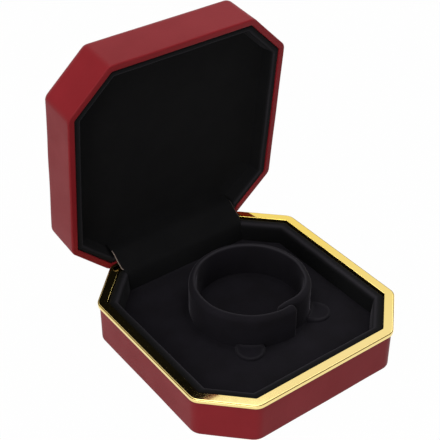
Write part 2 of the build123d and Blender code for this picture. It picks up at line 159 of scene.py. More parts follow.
@dataclass(frozen=True)
class Pattern:
    """Pattern of a stock, drawn on places on the piece.

    Clouds and pebbles are as wide as the size, and clouds may be drawn out along X. A slope is
    the distance in metres toward a direction, the dot product of the place with it.
    """

    size_mm: float = 1.0
    detail: float = 4.0  # octaves of clouds
    kind: Texture = Texture.CLOUDS
    length: float = 1.0  # times longer along X
    toward: tuple[float, float, float] = (0.0, 0.0, 0.0)
    span: tuple[float, float] = (0.35, 0.65)  # where most of its values lie

    def draw(
        self, tree: bpy.types.NodeTree, place: bpy.types.NodeSocket
    ) -> bpy.types.NodeSocket:
        """Add the pattern.

        Args:
            tree: the material's nodes.
            place: coordinates on the piece, in metres.

        Returns:
            The pattern's value.
        """
        if self.kind is Texture.SLOPE:
            sockets = {0: place, 1: self.toward}
            return add_node(tree, "VectorMath", sockets, operation="DOT_PRODUCT").outputs["Value"]
        sockets: dict[str, Any] = {"Vector": place, "Scale": 1 / (self.size_mm * MM)}
        if self.length != 1.0:
            drawn_out = {"Vector": place, "Scale": (1 / self.length, 1.0, 1.0)}
            sockets["Vector"] = add_node(tree, "Mapping", drawn_out)
        if self.kind is Texture.PEBBLES:
            return add_node(tree, "TexVoronoi", sockets, feature="SMOOTH_F1").outputs["Distance"]
        return add_node(tree, "TexNoise", {**sockets, "Detail": self.detail}).outputs["Fac"]

    def ranged(
        self, tree: bpy.types.NodeTree, place: bpy.types.NodeSocket, ends: tuple[float, float]
    ) -> bpy.types.Node:
        """Add the pattern, stretched to run between two values.

        Args:
            tree: the material's nodes.
            place: coordinates on the piece, in metres.
            ends: results at the ends of the pattern's span.

        Returns:
            The node that gives the result.
        """
        sockets = {
            "Value": self.draw(tree, place),
            "From Min": self.span[0],
            "From Max": self.span[1],
            "To Min": ends[0],
            "To Max": ends[1],
        }
        return add_node(tree, "MapRange", sockets)


@dataclass(frozen=True)
class Finish:
    """Look of one stock.

    Shades turn its colour to a second one, and marked places to a third. The relief stands out
    by a depth, and haze lets the roughness run over a range. What is even over the whole stock
    stands among the shader's inputs as a plain value.
    """

    name: str
    colour: str
    relief: Pattern
    depth_mm: float
    strength: float = 0.5  # of the relief
    sunk: bool = False  # whether high values of the relief are its low places
    shades: Pattern | None = None
    second: str = ""
    haze: Pattern | None = None
    roughness: tuple[float, float] = (0.0, 1.0)  # over the haze
    mark: str = ""  # attribute that says how marked a place is
    marked: str = ""
    dullness: float = 0.0  # roughness that marks add
    inputs: dict[str, Any] = field(default_factory=dict)  # of the shader, where even

    def make(self) -> bpy.types.Material:
        """Build the material.

        Returns:
            The material.
        """
        material = blank_material(self.name)
        tree = material.node_tree
        place = add_node(tree, "TexCoord", {}).outputs["Object"]
        height = self.relief.draw(tree, place)
        relief = {"Height": height, "Strength": self.strength, "Distance": self.depth_mm * MM}
        bump = add_node(tree, "Bump", relief, invert=self.sunk)
        sockets = {"Base Color": linear(self.colour), "Normal": bump, **self.inputs}
        turns = []
        if self.shades is not None:
            turns.append((self.shades.ranged(tree, place, (0.0, 1.0)), self.second))
        if self.mark:
            mark = add_node(tree, "Attribute", {}, attribute_name=self.mark).outputs["Fac"]
            turns.append((mark, self.marked))
        for factor, other in turns:
            mix = {"Factor": factor, 6: sockets["Base Color"], 7: linear(other)}
            sockets["Base Color"] = add_node(tree, "Mix", mix, data_type="RGBA").outputs[2]
        if self.haze is not None:
            sockets["Roughness"] = self.haze.ranged(tree, place, self.roughness)
        if self.dullness:
            dull = {0: mark, 1: self.dullness, 2: sockets["Roughness"]}
            sockets["Roughness"] = add_node(tree, "Math", dull, operation="MULTIPLY_ADD")
        shader = add_node(tree, "BsdfPrincipled", sockets)
        add_node(tree, "OutputMaterial", {"Surface": shader})
        return material


# Coated cloth, embossed with a fine pebble grain. The eye sees a deep red that greys only where
# it turns away: the coat is matt face on and takes a soft veil at a slant, which the pebbles
# break up. Real pebbles are half as wide, too fine to show. The shades and the haze are patches
# where the cloth was pressed more or less.
LEATHERCLOTH = Finish(
    "leathercloth_embossed_red",
    "821B22",
    shades=Pattern(22.0, 3.0),
    second="7A191F",
    haze=Pattern(22.0, 3.0),
    roughness=(0.44, 0.51),
    relief=Pattern(0.75, kind=Texture.PEBBLES),
    depth_mm=0.05,
    sunk=True,
    inputs={"Specular IOR Level": 0.12},
)
# Gold flash over polished moulded plastic. The eye sees a warm mirror of the room, with the
# faint waviness that plating keeps from the moulding and a line of painted shade, darker and
# rougher, in the groove. The colour is painted a deeper yellow toward the right rear, as a painted
# reflection of what those sides mirror.
PLATED_GOLD = Finish(
    "gold_plated_abs",
    "F5DD93",
    # Painted reflection: the colour turns a deeper yellow toward the right rear
    shades=Pattern(kind=Texture.SLOPE, toward=(0.6, 0.8, 0.0), span=(-0.026, 0.045)),
    second="F3D56B",
    haze=Pattern(2.5),
    roughness=(0.045, 0.06),
    relief=Pattern(14.0, 1.0),
    depth_mm=0.05,
    strength=0.05,
    mark=PAINTED_GROOVE_SHADE,
    marked="6B4E1C",
    dullness=0.3,
    inputs={"Metallic": 1.0},
)
# Short-pile black velvet. The eye sees near black face on, and a thin pale line along edges,
# which is a painted sheen highlight. Strokes in it leave patches that are a shade lighter or
# darker. Real tufts are a third as wide, too fine to show.
VELVET = Finish(
    "velvet_short_pile_black",
    "080809",
    shades=Pattern(11.0, 2.0),
    second="0B0B0C",
    relief=Pattern(0.55, 3.0),
    depth_mm=0.12,
    strength=0.55,
    mark=PAINTED_SHEEN_AND_CUT_EDGE,
    marked="2B292D",
    inputs={
        "Roughness": 0.9,
        "Specular IOR Level": 0.1,
        "Sheen Weight": 0.4,
        "Sheen Roughness": 0.22,
        "Sheen Tint": linear("6C6870"),
    },
)
# The same velvet for the cuff and the floor, painted a shade lighter and bluer as painted light,
# since they stand in more light than the lid's, and with more sheen.
PAINTED_LIGHTER_VELVET = replace(
    VELVET,
    name="velvet_black_painted_lighter",
    colour="0F0D11",
    second="141217",
    inputs={**VELVET.inputs, "Sheen Weight": 0.6},
)
# The flap's cut ends show the pale backing of the pile.
CUT_VELVET = replace(VELVET, name="velvet_with_cut_edges", marked="8A7C74")
# Moulded ABS: a fine spark-eroded texture, which the eye sees only through gaps.
MOULDED_ABS = Finish(
    "abs_moulded_black",
    "1C1B1D",
    shades=Pattern(0.6),
    second="242325",
    relief=Pattern(0.6),
    depth_mm=0.03,
    inputs={"Roughness": 0.55},
)
# Grey board: pressed waste paper, matt, with pale flecks.
PRESSED_BOARD = Finish(
    "grey_board_pressed",
    "8D877C",
    shades=Pattern(0.9),
    second="77726A",
    relief=Pattern(0.9),
    depth_mm=0.06,
    inputs={"Roughness": 0.9},
)
# Flocked card: short fibres on paper, near black and without shine.
FLOCKED_CARD = Finish(
    "card_flocked_black",
    "1A191B",
    shades=Pattern(0.5),
    second="232124",
    relief=Pattern(0.5),
    depth_mm=0.12,
    inputs={"Roughness": 0.95},
)
# Nickel-plated strip steel. The eye sees a pale satin metal with the fine lines of rolling
# along its length.
SPRING_STEEL = Finish(
    "spring_steel_nickel_plated",
    "C9C7C2",
    haze=Pattern(0.12, 2.0, length=20.0),
    roughness=(0.24, 0.36),
    relief=Pattern(0.12, 2.0, length=20.0),
    depth_mm=0.01,
    strength=0.3,
    inputs={"Metallic": 1.0},
)


@dataclass(frozen=True)
class Finishes:
    """Every material of the case, made once."""

    leather: bpy.types.Material = field(default_factory=LEATHERCLOTH.make)
    gold: bpy.types.Material = field(default_factory=PLATED_GOLD.make)
    velvet: bpy.types.Material = field(default_factory=VELVET.make)
    painted_lighter_velvet: bpy.types.Material = field(default_factory=PAINTED_LIGHTER_VELVET.make)
    cut_edged: bpy.types.Material = field(default_factory=CUT_VELVET.make)
    plastic: bpy.types.Material = field(default_factory=MOULDED_ABS.make)
    board: bpy.types.Material = field(default_factory=PRESSED_BOARD.make)
    flock: bpy.types.Material = field(default_factory=FLOCKED_CARD.make)
    steel: bpy.types.Material = field(default_factory=SPRING_STEEL.make)


# Shape helpers


def measured(node: str) -> tuple[np.ndarray, np.ndarray]:
    """Lowest and highest corner of a node, in millimetres."""
    low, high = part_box(node)
    return np.array(low) / MM, np.array(high) / MM


def run(start: Sequence[float], end: Sequence[float], step: float) -> np.ndarray:
    """Points on a straight line, ends included.

    The point at share t is start + t * (end - start).

    Args:
        start: first point.
        end: last point.
        step: spacing wanted.

    Returns:
        The points.
    """
    first = np.array(start, float)
    last = np.array(end, float)
    count = max(1, round(float(np.linalg.norm(last - first)) / step))
    return first + np.linspace(0, 1, count + 1)[:, None] * (last - first)


def arc(
    centre: Sequence[float], radius: float, start: float, end: float, steps: int
) -> np.ndarray:
    """Points on an arc, ends included.

    The point at angle a is the centre + radius * (cos a, sin a).

    Args:
        centre: middle of the arc.
        radius: its radius.
        start: first angle in degrees.
        end: last angle in degrees.
        steps: stretches between points.

    Returns:
        The points.
    """
    angle = np.radians(np.linspace(start, end, steps + 1))
    return np.array(centre) + radius * np.stack([np.cos(angle), np.sin(angle)], -1)


def bell(distance: np.ndarray, reach: float) -> np.ndarray:
    """One at no distance, falling off as exp(-(distance / reach) ** 2)."""
    return np.exp(-((distance / reach) ** 2))


def ripple(points: np.ndarray, wavelength: float, seed: int) -> np.ndarray:
    """Smooth unevenness between about -1 and 1.

    The sum of six sine waves of one wavelength and of seeded directions and phases, over two.

    Args:
        points: places, with coordinates on the last axis.
        wavelength: of each wave, in millimetres.
        seed: picks the waves.

    Returns:
        One value for each point.
    """
    draw = np.random.default_rng(seed)
    ways = draw.normal(size=(6, points.shape[-1]))
    ways /= np.linalg.norm(ways, axis=1, keepdims=True)
    phase = draw.uniform(0, 2 * pi, 6)
    waves = np.sin(points @ ways.T * (2 * pi / wavelength) + phase)
    return waves.sum(-1) / 2


def shrunk(ring: np.ndarray, shares: np.ndarray) -> np.ndarray:
    """Copies of a ring of points, each shrunk toward the upright axis to a share of it."""
    return ring * shares[:, None, None] * np.array([1, 1, 0]) + ring * np.array([0, 0, 1])


@dataclass(frozen=True)
class Plan:
    """Rectangle with cut corners, seen from above, and everything parallel to it.

    Side k has its outward normal at k * 45 degrees. A point of the outline moved inward by an
    inset, with its corners rounded to a radius, is corner - inset * mitre + radius * bend,
    and each column of the grid keeps those three vectors.
    """

    width: float
    depth: float
    cut: float
    side_steps: int = 26
    corner_steps: int = 7
    rear_marks: tuple[float, ...] = ()  # places along the rear side that get a column

    def columns(self) -> tuple[np.ndarray, np.ndarray, np.ndarray]:
        """Lay out the columns, going round to the left.

        Returns:
            Corner, mitre and bend vectors of each column.
        """
        angles = np.radians(45.0 * np.arange(8))
        normals = np.stack([np.cos(angles), np.sin(angles)], -1)
        slant = (self.width / 2 + self.depth / 2 - self.cut) / sqrt(2)
        reach = np.array([self.width / 2, slant, self.depth / 2, slant] * 2)
        pairs = np.stack([normals, np.roll(normals, -1, 0)], 1)
        vertices = np.linalg.solve(pairs, np.stack([reach, np.roll(reach, -1)], 1)[..., None])[..., 0]
        mitres = np.linalg.solve(pairs, np.ones((8, 2, 1)))[..., 0]
        turn = angles[:, None] + np.linspace(0, pi / 4, self.corner_steps + 1)
        bends = np.stack([np.cos(turn), np.sin(turn)], -1) - mitres[:, None]
        rows = []
        for k in range(8):
            after = (k + 1) % 8
            ones = np.ones((self.corner_steps + 1, 1))
            rows.append(np.hstack([ones * vertices[k], ones * mitres[k], bends[k]]))
            start = np.hstack([vertices[k], mitres[k], bends[k][-1]])
            end = np.hstack([vertices[after], mitres[after], bends[after][0]])
            share = np.linspace(0, 1, self.side_steps + 1)[1:-1]
            if k == 1:
                marks = (vertices[k][0] - np.array(self.rear_marks)) / (2 * vertices[k][0])
                share = np.unique(np.concatenate([share, marks]))
            rows.append(start + share[:, None] * (end - start))
        table = np.vstack(rows)
        return table[:, 0:2], table[:, 2:4], table[:, 4:6]

    def surface(self, inset: np.ndarray, height: np.ndarray, radius: np.ndarray) -> np.ndarray:
        """Points of a wall that follows the plan.

        Args:
            inset: how far in, for each row, or for each row and column.
            height: of each row, or of each row and column.
            radius: of the corners, for each row.

        Returns:
            Points as rows, columns and X, Y, Z.
        """
        corner, mitre, bend = self.columns()
        shape = (len(inset), len(corner))
        inset = np.broadcast_to(inset.reshape(len(inset), -1), shape)[..., None]
        height = np.broadcast_to(height.reshape(len(height), -1), shape)
        flat = corner - inset * mitre + radius[:, None, None] * bend
        return np.concatenate([flat, height[..., None]], -1)

    def nearness(self, reach: float) -> np.ndarray:
        """How near each column is to a corner, as a bell of the distance.

        Args:
            reach: of the bell.

        Returns:
            One at a corner, and less farther from it, for each column.
        """
        corner, _, _ = self.columns()
        half_x = self.width / 2
        half_y = self.depth / 2
        quarter = np.array([[half_x, half_y - self.cut], [half_x - self.cut, half_y]])
        signs = np.array([[1, 1], [-1, 1], [-1, -1], [1, -1]])
        vertices = (quarter[None] * signs[:, None]).reshape(-1, 2)
        gaps = np.linalg.norm(corner[:, None] - vertices[None], axis=-1).min(1)
        return bell(gaps, reach)


def make_piece(
    name: str,
    points: np.ndarray,
    finish: bpy.types.Material,
    closed: tuple[bool, bool] = (True, True),
    sharp_degrees: float = 50.0,
    mark: tuple[str, np.ndarray] | None = None,
) -> bpy.types.Object:
    """Write a grid of points as a closed smooth mesh.

    Face (r, c) joins points (r, c), (r, c + 1), (r + 1, c + 1) and (r + 1, c), counted round
    where the grid closes on itself. Points that coincide are welded, which closes poles and
    seams, and faces are then turned outward.

    Args:
        name: of the object.
        points: rows, columns and X, Y, Z in millimetres.
        finish: its material.
        closed: whether the last row meets the first, and the last column the first.
        sharp_degrees: edges that turn more than this stay crisp.
        mark: an attribute's name and its value, from 0 to 1, for each row and column.

    Returns:
        The object, at the origin.
    """
    rows, columns = points.shape[:2]
    down, across = (
        np.arange(count if loop else count - 1) for count, loop in zip((rows, columns), closed)
    )
    r, c = np.meshgrid(down, across, indexing="ij")
    below = (r + 1) % rows
    right = (c + 1) % columns
    corners = [r * columns + c, r * columns + right, below * columns + right, below * columns + c]
    faces = np.stack(corners, -1).reshape(-1, 4)
    mesh = bpy.data.meshes.new(name)
    mesh.from_pydata(points.reshape(-1, 3) * MM, [], faces)
    if mark is not None:
        values = np.broadcast_to(mark[1], (rows, columns)).astype(np.float32)
        mesh.attributes.new(mark[0], "FLOAT", "POINT").data.foreach_set("value", values.ravel())
    work = bmesh.new()
    work.from_mesh(mesh)
    bmesh.ops.remove_doubles(work, verts=work.verts, dist=WELD)
    bmesh.ops.dissolve_degenerate(work, edges=work.edges, dist=WELD)
    bmesh.ops.recalc_face_normals(work, faces=work.faces)
    work.to_mesh(mesh)
    work.free()
    mesh.polygons.foreach_set("use_smooth", np.ones(len(mesh.polygons), bool))
    mesh.set_sharp_from_angle(angle=radians(sharp_degrees))
    mesh.materials.append(finish)
    piece = bpy.data.objects.new(name, mesh)
    bpy.context.scene.collection.objects.link(piece)
    return piece


def settle(piece: bpy.types.Object, body: Body | None, slot: Slot, *replaced: str) -> None:
    """Tie a piece to its body and hide the nodes it stands for.

    Args:
        piece: the new object.
        body: what it rides on, or None where it bends between bodies.
        slot: the record's slot for its finish; not used.
        replaced: nodes that it replaces.
    """
    if body is not None:
        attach(piece, body.value)
    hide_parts(*replaced)
    LOG.info("%s: %d faces, for %s", piece.name, len(piece.data.polygons), ", ".join(replaced))


SEAM_X = 12.0  # lap of the wrap on the rear wall
SEAM_LAP = 7.0
SEAM_STEP = 0.22
SEAM_COLUMNS = (SEAM_X - 0.12, SEAM_X + 0.12, SEAM_X - SEAM_LAP)


def lap(x: np.ndarray, y: np.ndarray) -> np.ndarray:
    """Rise of the lapped seam on the rear wall.

    It is SEAM_STEP at SEAM_X, fades to nothing over SEAM_LAP to one side and drops off at once
    to the other.

    Args:
        x: place across the wall.
        y: place in depth, above zero on the rear.

    Returns:
        How far the wrap stands out.
    """
    share = np.clip((x - (SEAM_X - SEAM_LAP)) / SEAM_LAP, 0, 1)
    return SEAM_STEP * share * (x < SEAM_X) * (y > 0)


@dataclass
class CaseSizes:
    """Sizes that the sub-assemblies share, from the frame and a few driving sizes."""

    cut: float = 17.2
    leather: float = 0.6
    leather_inset: float = 0.5
    turn_in: float = 12.0
    notch: float = 23.0  # half width of the hinge's clearance in the rear wall
    notch_edge: float = 0.02  # half width of the step at its ends
    panel_gap: float = 0.1  # behind the velvet side panels
    wave: float = 0.05  # unevenness of the wraps
    wave_length: float = 26.0
    width: float = field(init=False)
    depth: float = field(init=False)
    rim_top: float = field(init=False)
    band: float = field(init=False)
    foot: float = field(init=False)
    axis_y: float = field(init=False)
    axis_z: float = field(init=False)
    opening: float = field(init=False)

    def __post_init__(self) -> None:
        """Read the rim's, the wrap's and the joint's places."""
        low, high = measured("gold_rim")
        self.width, self.depth, _ = high - low
        self.rim_top = high[2]
        low, high = measured("base_leather")
        self.foot, self.band = low[2], high[2]
        joint = frame["joints"][0]
        self.axis_y = joint["pos_m"][1] / MM
        self.axis_z = joint["pos_m"][2] / MM
        self.opening = radians(joint["range_deg"][1])

    def plan(self, reach: float = 0.0) -> Plan:
        """The case's plan, with columns at the ends of the hinge's notch and at the seam.

        Args:
            reach: inset plus corner radius of the rows, which draws their columns together.

        Returns:
            The plan.
        """
        shifts = (-self.notch_edge, self.notch_edge)
        marks = [side * (self.notch + shift) for side in (-1, 1) for shift in shifts]
        half = self.width / 2 - self.cut
        drawn = half / (half - reach * tan(pi / 8))
        rear_marks = tuple(drawn * mark for mark in (*marks, *SEAM_COLUMNS))
        return Plan(self.width, self.depth, self.cut, rear_marks=rear_marks)

    def opened(self, points: np.ndarray) -> np.ndarray:
        """Turn points of the closed lid to where they stand when it is open.

        With dy and dz from the hinge axis and the angle t, y becomes axis + dy cos t + dz sin t
        and z becomes axis - dy sin t + dz cos t.

        Args:
            points: on the closed lid.

        Returns:
            The same points on the open lid.
        """
        dy = points[..., 1] - self.axis_y
        dz = points[..., 2] - self.axis_z
        y = self.axis_y + dy * cos(self.opening) + dz * sin(self.opening)
        z = self.axis_z - dy * sin(self.opening) + dz * cos(self.opening)
        return np.stack([points[..., 0], y, z], -1)


# Sub-assemblies


@dataclass(frozen=True)
class SoftInterior:
    """Velvet side panels and the cushion between them.

    Points are laid out by inset from the plan and by depth behind the panels' lip. The base
    is deep downward from its lip, and the closed lid is deep upward.
    """

    outer: float  # inset of the panels' back at the lip
    thickness: float
    lip: float  # height of the lip
    down: int  # 1 where depth goes down, -1 where it goes up
    depth: float  # of the panels
    slope: float  # inset gained with depth
    edge: float  # roundness of the panels' lip
    pad_edge: float  # depth at which the cushion meets the panels
    pad_middle: float
    pad_seat: float
    pad_run: float  # from the panels to the level middle
    pad_power: float  # how quickly the cushion levels out
    swell: float = 0.18
    corner_radius: float = 1.2
    back_radius: float = 0.4  # of the corners behind the panels
    corner_reach: float = 4.0  # how near a corner the swell dies away
    tucked: float = 0.1  # how far the cushion goes into the panels
    painted_sheen_width: float = 0.6  # of the painted sheen line along the lip
    panel_wave: float = 0.04
    panel_wave_length: float = 14.0
    pad_wave: float = 0.06
    pad_wave_length: float = 17.0

    def panels(self, plan: Plan, seed: int) -> tuple[np.ndarray, np.ndarray]:
        """Panels round the inside, which lean in from a soft lip and swell between corners.

        The inset grows by the slope times the depth, and the swell is a half sine in depth.
        A painted sheen highlight runs along the inner edge of the lip, as a bell of the distance from
        it.

        Args:
            plan: of the case.
            seed: picks the unevenness.

        Returns:
            Points as a grid that closes both ways, and how strong the painted sheen is on each row.
        """
        r = self.edge
        inner = self.outer + self.thickness
        far = self.slope * self.depth
        near = self.slope * r
        profile = np.vstack([
            run((self.outer + far, self.depth), (self.outer + near, r), 4.0),
            arc((self.outer + r, r), r, 185, 270, 5),
            run((self.outer + r, 0), (inner - r, 0), 0.8)[1:-1],
            arc((inner - r, r), r, 270, 355, 6),
            run((inner + near, r + 0.2), (inner + far, self.depth), 0.8),
        ])
        inset, depth = profile.T
        facing = inset > inner - r
        radius = np.where(facing, self.corner_radius, self.back_radius)
        height = self.lip - self.down * depth
        points = plan.surface(inset, height, radius)
        between = (inset > inner)[:, None] * (1 - plan.nearness(self.corner_reach))[None, :]
        swell = self.swell * between * np.sin(pi * depth / self.depth)[:, None]
        uneven = self.panel_wave * ripple(points, self.panel_wave_length, seed)
        uneven = uneven * facing[:, None]
        points = plan.surface(inset[:, None] + swell + uneven, height, radius)
        from_edge = np.hypot(inset - (inner - r / 3), depth - r / 3)
        return points, bell(from_edge, self.painted_sheen_width)[:, None]

    def cushion(self, plan: Plan, seed: int) -> np.ndarray:
        """Cushion from its seat, along the panels and over to its level middle.

        With t from 0 at the panels to 1 at the middle, the inset grows by run * t and the
        depth nears the middle's as 1 - (1 - t) ** power. The middle is the last outline shrunk
        to a point.

        Args:
            plan: of the case.
            seed: picks the unevenness.

        Returns:
            Points as a grid that closes along its rows.
        """
        side = self.outer + self.thickness - self.tucked
        t = np.linspace(0, 1, 17)
        inset = side + self.slope * self.pad_edge + self.pad_run * t
        rise = (self.pad_edge - self.pad_middle) * (1 - t) ** self.pad_power
        face = np.stack([inset, self.pad_middle + rise], -1)
        foot = (side + self.slope * self.pad_seat, self.pad_seat)
        profile = np.vstack([run(foot, face[0], 1.5)[:-1], face])
        inset, depth = profile.T
        height = self.lip - self.down * depth
        points = plan.surface(inset, height, np.full(len(inset), self.corner_radius))
        middle = shrunk(points[-1], np.linspace(1, 0, 50)[1:])
        under = shrunk(points[0], np.linspace(0, 1, 5)[:-1])
        for top in (points[len(profile) - len(face) + 1 :], middle):
            top[..., 2] += self.pad_wave * ripple(top[..., :2], self.pad_wave_length, seed)
        return np.concatenate([under, points, middle])


@dataclass(frozen=True)
class CuffSizes:
    """Sizes of the cuff and of its tabs."""

    x: float = 3.4
    y: float = 2.4
    outer: float = 24.7
    inner: float = 21.7
    split_degrees: float = -77.0
    tab_width: float = 11.6
    tab_reach: float = 8.4
    left_swing: float = -50.0
    right_swing: float = 30.0


@dataclass
class BaseTray:
    """The base: leathercloth wrap, plated rim, velvet lining and padded floor."""

    sizes: CaseSizes
    finishes: Finishes
    corner_radius: float = 6.0
    least_radius: float = 0.3  # of any corner
    foot_radius: float = 1.1
    pucker: float = 0.14  # gathers of the wrap under its corners
    pucker_reach: float = 5.0
    notch_drop: float = 1.9  # from the hinge's axis to the notch's floor
    rim_corner: float = 5.0  # the plating keeps its corners crisper than the wrap
    band_width: float = 3.8
    inner_radius: float = 0.15  # of the band's inner edge
    bead: float = 0.15  # how far the bead stands outside the plan
    bead_drop: float = 0.22  # top of the bead below the band
    groove: float = 0.1  # inset of the groove's middle
    groove_shape: tuple[tuple[float, float], ...] = (  # inward of its middle, and down
        (0.3, 0.0),
        (0.2, 0.04),
        (0.1, 0.16),
        (0.02, 0.42),
        (-0.02, 0.42),
    )
    painted_shade_reach: float = 0.15  # of the painted shade, to either side of the groove's middle
    painted_shade_drop: float = 0.1  # where the painted shade starts, below the band
    skirt_inset: float = 2.8
    skirt_drop: float = 5.0
    bridge: float = 0.6
    lining_drop: float = 0.7
    pad_edge: float = 9.8  # height at which the cushion meets the panels
    dip: float = 0.9  # how deep the cuff's foot draws the pad in
    dip_reach: float = 2.2

    def build(self) -> None:
        """Make the four pieces."""
        self.make_wrap()
        self.make_rim()
        self.make_interior()

    def make_wrap(self) -> None:
        """Leathercloth round the wall and foot, turned in under the floor.

        The closed profile runs down the face, round the foot, in to the card and back inside
        the cloth's thickness. Under the corners it gathers, in at one column and out at the
        next, and at the hinge it stops at the notch's floor.
        """
        s = self.sizes
        outside = s.leather_inset
        inside = outside + s.leather
        bend = outside + self.foot_radius
        low = s.foot + self.foot_radius
        profile = np.vstack([
            run((outside, s.band), (outside, low), 0.9),
            arc((bend, low), self.foot_radius, 180, 270, 9)[1:],
            run((bend, s.foot), (s.turn_in, s.foot), 1.2)[1:],
            run((s.turn_in, s.foot + s.leather), (bend, s.foot + s.leather), 3.0),
            arc((bend, low), self.foot_radius - s.leather, 270, 180, 5)[1:],
            run((inside, low), (inside, s.band), 5.0)[1:],
        ])
        plan = s.plan(self.corner_radius + outside)
        inset, height = profile.T
        radius = np.clip(self.corner_radius - (inset - outside), self.least_radius, None)
        points = plan.surface(inset, height, radius)
        x, y, z = np.moveaxis(points, -1, 0)
        face = (inset[:, None] < inside) | (z < s.foot + s.leather / 2)
        face = face & (inset[:, None] < s.turn_in - s.leather)
        uneven = s.wave * ripple(points, s.wave_length, seed=3) + lap(x, y) * (z > low)
        corners = plan.nearness(self.pucker_reach)[None, :]
        gathers = self.pucker * corners * np.cos(np.arange(x.shape[1]) * pi)[None, :]
        under = np.clip((inset[:, None] - outside) / self.foot_radius, 0, 1)
        below = (z < low) * under * gathers * face
        notch_floor = s.axis_z - self.notch_drop
        notched = (np.abs(x) < s.notch) & (y > 0) & (z > notch_floor)
        height_map = np.where(notched, notch_floor, height[:, None] + np.abs(below))
        points = plan.surface(inset[:, None] - uneven * face, height_map, radius)
        piece = make_piece("base_wrap", points, self.finishes.leather)
        settle(piece, Body.BASE, Slot.LEATHER, "base_leather")

    def make_rim(self) -> None:
        """Plated rim: a flat band, a fine groove, an outer bead and the skirt inside.

        At the hinge only the inner bridge of the band is left, so there the profile is pressed
        onto the bridge.
        """
        s = self.sizes
        top = s.rim_top
        low = s.band
        band = self.band_width
        bead = top - self.bead_drop
        r = (self.groove + self.bead) / 2
        r_in = self.inner_radius
        profile = np.vstack([
            arc((band - r_in, top - r_in), r_in, 0, 90, 3),
            run((band - r_in - 0.05, top), (self.groove + 0.34, top), 1.3),
            [(self.groove + inward, top - down) for inward, down in self.groove_shape],
            arc((self.groove - r, bead - r), r, 45, 180, 6),
            arc((r - self.bead, low + r), r, 180, 270, 3),
            [(self.skirt_inset, low)],
            [(self.skirt_inset, low - self.skirt_drop)],
            [(band, low - self.skirt_drop)],
        ])
        plan = s.plan(self.rim_corner)
        inset, height = profile.T
        radius = np.clip(self.rim_corner - inset, self.least_radius, None)
        x, y, _ = np.moveaxis(plan.surface(inset, height, radius), -1, 0)
        notched = (np.abs(x) < s.notch) & (y > 0)
        inset_map = np.where(notched, np.maximum(inset[:, None], band - self.bridge), inset[:, None])
        height_map = np.where(notched, np.maximum(height[:, None], low), height[:, None])
        points = plan.surface(inset_map, height_map, radius)
        # Painted shade: the groove below the band is marked for a darker, rougher colour
        deep = (np.abs(inset - self.groove) < self.painted_shade_reach) & (height < top - self.painted_shade_drop)
        mark = (PAINTED_GROOVE_SHADE, deep[:, None])
        piece = make_piece("rim_plated", points, self.finishes.gold, sharp_degrees=30.0, mark=mark)
        settle(piece, Body.BASE, Slot.GOLD, "gold_rim")

    def make_interior(self) -> None:
        """Velvet side panels and the padded floor, drawn in where the cuff stands.

        The draw falls off with the distance from the cuff's wall as a bell.
        """
        s = self.sizes
        lip = s.rim_top - self.lining_drop
        floor = measured("base_lining")[0][2]
        seat = measured("base_pad_board")[1][2]
        pad_top = measured("base_pad_velvet")[1][2]
        soft = SoftInterior(
            outer=self.band_width + s.panel_gap,
            thickness=3.9,
            lip=lip,
            down=1,
            depth=lip - floor,
            slope=tan(radians(5.0)),
            edge=1.7,
            painted_sheen_width=0.9,
            pad_edge=lip - self.pad_edge,
            pad_middle=lip - pad_top,
            pad_seat=lip - seat,
            pad_run=11.0,
            pad_power=2.2,
        )
        plan = s.plan()
        panels, opened = soft.panels(plan, seed=5)
        velvet = self.finishes.velvet
        # The lip's inner edge gets a painted sheen highlight
        piece = make_piece("base_lining_velvet", panels, velvet, mark=(PAINTED_SHEEN_AND_CUT_EDGE, opened))
        settle(piece, Body.BASE, Slot.VELVET, "base_lining")
        points = soft.cushion(plan, seed=7)
        cuff = CuffSizes()
        gap = np.hypot(points[..., 0] - cuff.x, points[..., 1] - cuff.y)
        gap = np.abs(gap - (cuff.outer + cuff.inner) / 2) - (cuff.outer - cuff.inner) / 2
        draw = bell(np.clip(gap, 0, None), self.dip_reach)
        points[..., 2] -= self.dip * draw * (points[..., 2] > seat + 1.0)
        piece = make_piece("base_pad_cushion", points, self.finishes.painted_lighter_velvet, (False, True))
        settle(piece, Body.BASE, Slot.VELVET, "base_pad_velvet", "base_pad_foam")


